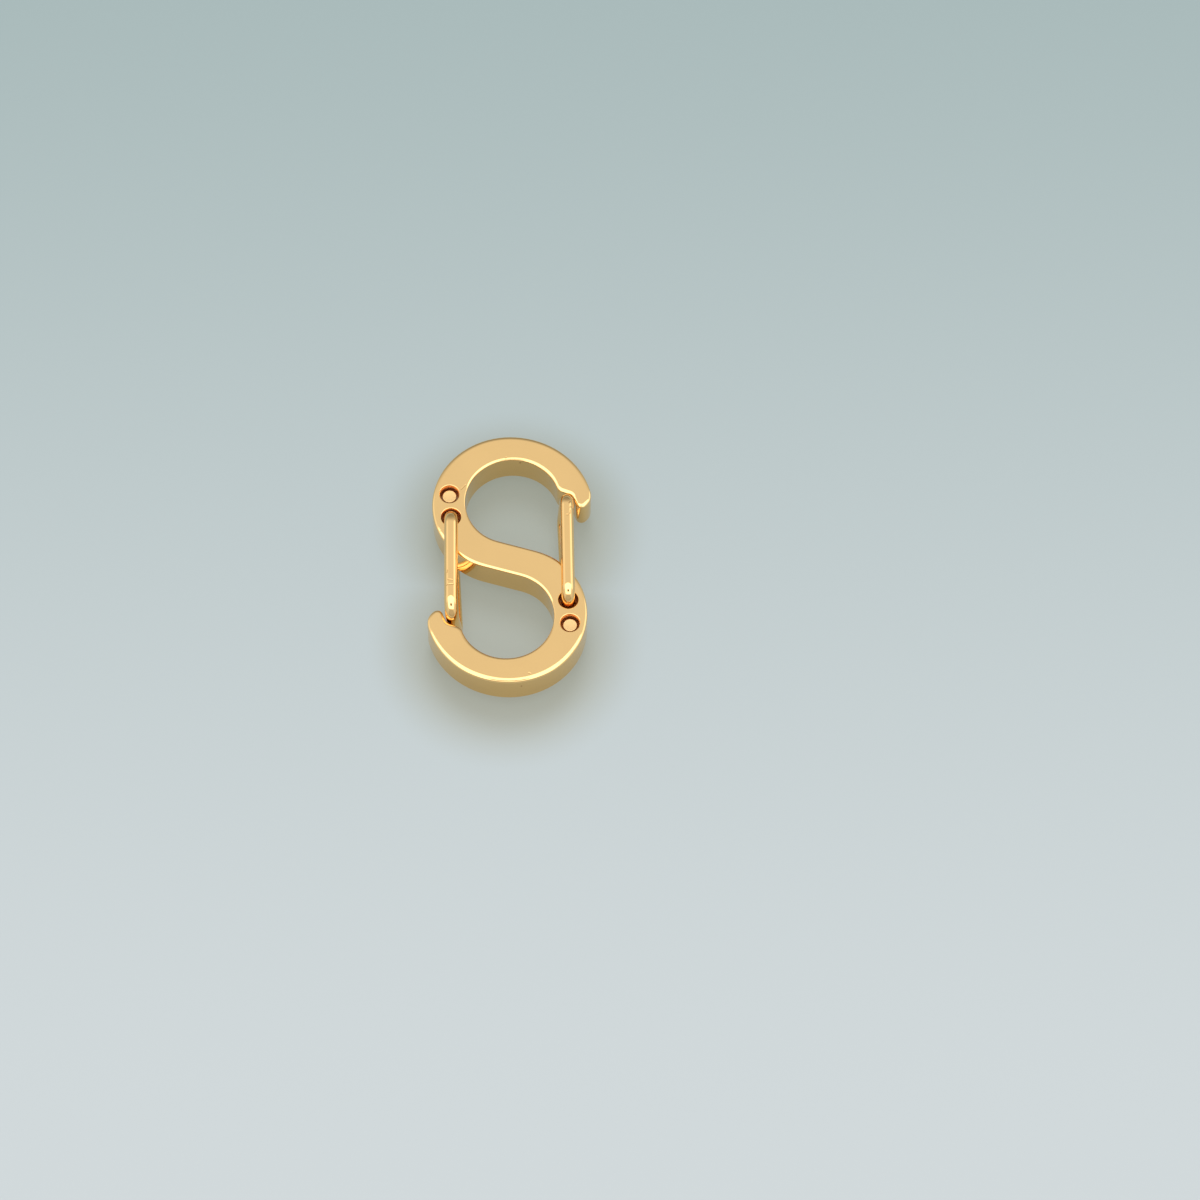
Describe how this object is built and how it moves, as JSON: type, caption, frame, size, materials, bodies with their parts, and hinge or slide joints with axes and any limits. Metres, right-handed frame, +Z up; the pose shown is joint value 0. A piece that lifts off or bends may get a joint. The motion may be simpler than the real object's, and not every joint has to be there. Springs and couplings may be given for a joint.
{
  "type": "s-hook clasp",
  "caption": "Flat S-shaped double-ended jewellery clasp with a sprung bent-wire gate across the mouth of each hook.",
  "frame": {"origin": "under the middle of the S, on the surface that the clasp rests on", "axes": "+Y along the clasp's length towards the upper hook, +X across it towards the upper hook's gate, +Z up through the plate"},
  "size_m": [0.0142, 0.024, 0.0055],
  "materials": {
    "frame": "polished gold plate",
    "gate_wire": "polished gold plate"
  },
  "bodies": {
    "frame": {"frame": "frame"},
    "upper_gate": {"upper_gate": "gate_wire"},
    "lower_gate": {"lower_gate": "gate_wire"}
  },
  "joints": [
    {"name": "upper_gate_hinge", "type": "hinge", "parent": "frame", "child": "upper_gate", "pos_m": [0.00517, -0.00517, 0.00277], "axis": [0, 0, 1], "range_deg": [0, 11], "stiffness_Nm_per_rad": 0.03, "springref_deg": -5.73},
    {"name": "lower_gate_hinge", "type": "hinge", "parent": "frame", "child": "lower_gate", "pos_m": [-0.00517, 0.00517, 0.00277], "axis": [0, 0, 1], "range_deg": [0, 11], "stiffness_Nm_per_rad": 0.03, "springref_deg": -5.73}
  ]
}
